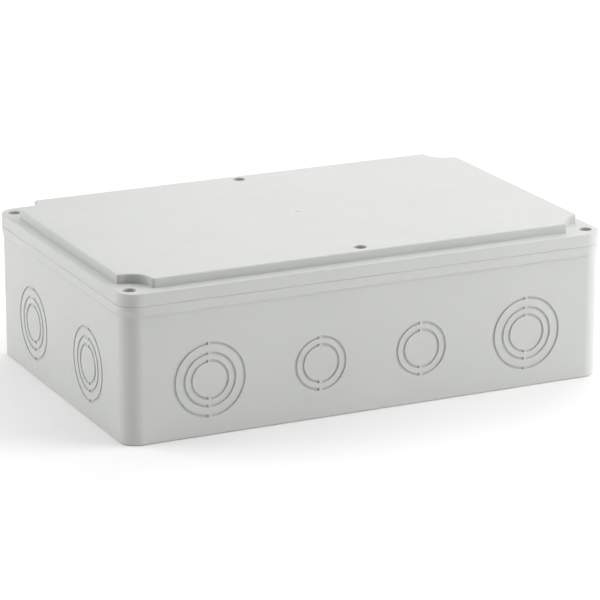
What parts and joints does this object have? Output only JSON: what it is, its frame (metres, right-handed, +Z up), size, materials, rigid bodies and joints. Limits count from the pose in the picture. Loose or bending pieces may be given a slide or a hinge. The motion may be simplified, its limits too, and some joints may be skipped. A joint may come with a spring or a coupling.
{
  "type": "electrical junction box",
  "caption": "Rectangular junction box with a raised screw-down lid, a sealing gasket, captive lid screws and round breakout cable entries in its four walls.",
  "frame": {"origin": "middle of the base's flat underside", "axes": "+X along the long side, +Y towards the back long wall, +Z up through the lid"},
  "size_m": [0.386, 0.251, 0.1185],
  "materials": {
    "housing": "fine moulded texture",
    "seal": "closed-cell foam",
    "screw": "zinc plated",
    "washer": "smooth"
  },
  "bodies": {
    "box": {"base_box": "housing", "knockout_front_1": "housing", "knockout_front_2": "housing", "knockout_front_3": "housing", "knockout_front_4": "housing", "knockout_right_1": "housing", "knockout_right_2": "housing", "knockout_back_1": "housing", "knockout_back_2": "housing", "knockout_back_3": "housing", "knockout_back_4": "housing", "knockout_left_1": "housing", "knockout_left_2": "housing"},
    "cover": {"lid": "housing", "gasket": "seal"},
    "washer_1": {"screw_washer_1": "washer"},
    "screw_1": {"lid_screw_1": "screw"},
    "washer_2": {"screw_washer_2": "washer"},
    "screw_2": {"lid_screw_2": "screw"},
    "washer_3": {"screw_washer_3": "washer"},
    "screw_3": {"lid_screw_3": "screw"},
    "washer_4": {"screw_washer_4": "washer"},
    "screw_4": {"lid_screw_4": "screw"},
    "washer_5": {"screw_washer_5": "washer"},
    "screw_5": {"lid_screw_5": "screw"},
    "washer_6": {"screw_washer_6": "washer"},
    "screw_6": {"lid_screw_6": "screw"}
  },
  "joints": [
    {"name": "lid_lift", "type": "slide", "parent": "box", "child": "cover", "axis": [0, 0, 1], "range_m": [0, 0.12]},
    {"name": "washer_1_rise", "type": "slide", "parent": "cover", "child": "washer_1", "axis": [0, 0, 1], "range_m": [0, 0.02]},
    {"name": "screw_1_turn", "type": "hinge", "parent": "washer_1", "child": "screw_1", "pos_m": [0.1829, 0.1125, 0.1072], "axis": [0, 0, 1], "range_deg": [0, 3600]},
    {"name": "washer_2_rise", "type": "slide", "parent": "cover", "child": "washer_2", "axis": [0, 0, 1], "range_m": [0, 0.02]},
    {"name": "screw_2_turn", "type": "hinge", "parent": "washer_2", "child": "screw_2", "pos_m": [-0.1829, 0.1125, 0.1072], "axis": [0, 0, 1], "range_deg": [0, 3600]},
    {"name": "washer_3_rise", "type": "slide", "parent": "cover", "child": "washer_3", "axis": [0, 0, 1], "range_m": [0, 0.02]},
    {"name": "screw_3_turn", "type": "hinge", "parent": "washer_3", "child": "screw_3", "pos_m": [-0.1829, -0.1125, 0.1072], "axis": [0, 0, 1], "range_deg": [0, 3600]},
    {"name": "washer_4_rise", "type": "slide", "parent": "cover", "child": "washer_4", "axis": [0, 0, 1], "range_m": [0, 0.02]},
    {"name": "screw_4_turn", "type": "hinge", "parent": "washer_4", "child": "screw_4", "pos_m": [0.1829, -0.1125, 0.1072], "axis": [0, 0, 1], "range_deg": [0, 3600]},
    {"name": "washer_5_rise", "type": "slide", "parent": "cover", "child": "washer_5", "axis": [0, 0, 1], "range_m": [0, 0.02]},
    {"name": "screw_5_turn", "type": "hinge", "parent": "washer_5", "child": "screw_5", "pos_m": [0, 0.1055, 0.1072], "axis": [0, 0, 1], "range_deg": [0, 3600]},
    {"name": "washer_6_rise", "type": "slide", "parent": "cover", "child": "washer_6", "axis": [0, 0, 1], "range_m": [0, 0.02]},
    {"name": "screw_6_turn", "type": "hinge", "parent": "washer_6", "child": "screw_6", "pos_m": [0, -0.1055, 0.1072], "axis": [0, 0, 1], "range_deg": [0, 3600]}
  ],
  "couplings": [
    {"joint": "screw_1_turn", "follows": "washer_1_rise", "rad_per_m": 3141.6},
    {"joint": "screw_2_turn", "follows": "washer_2_rise", "rad_per_m": 3141.6},
    {"joint": "screw_3_turn", "follows": "washer_3_rise", "rad_per_m": 3141.6},
    {"joint": "screw_4_turn", "follows": "washer_4_rise", "rad_per_m": 3141.6},
    {"joint": "screw_5_turn", "follows": "washer_5_rise", "rad_per_m": 3141.6},
    {"joint": "screw_6_turn", "follows": "washer_6_rise", "rad_per_m": 3141.6}
  ]
}
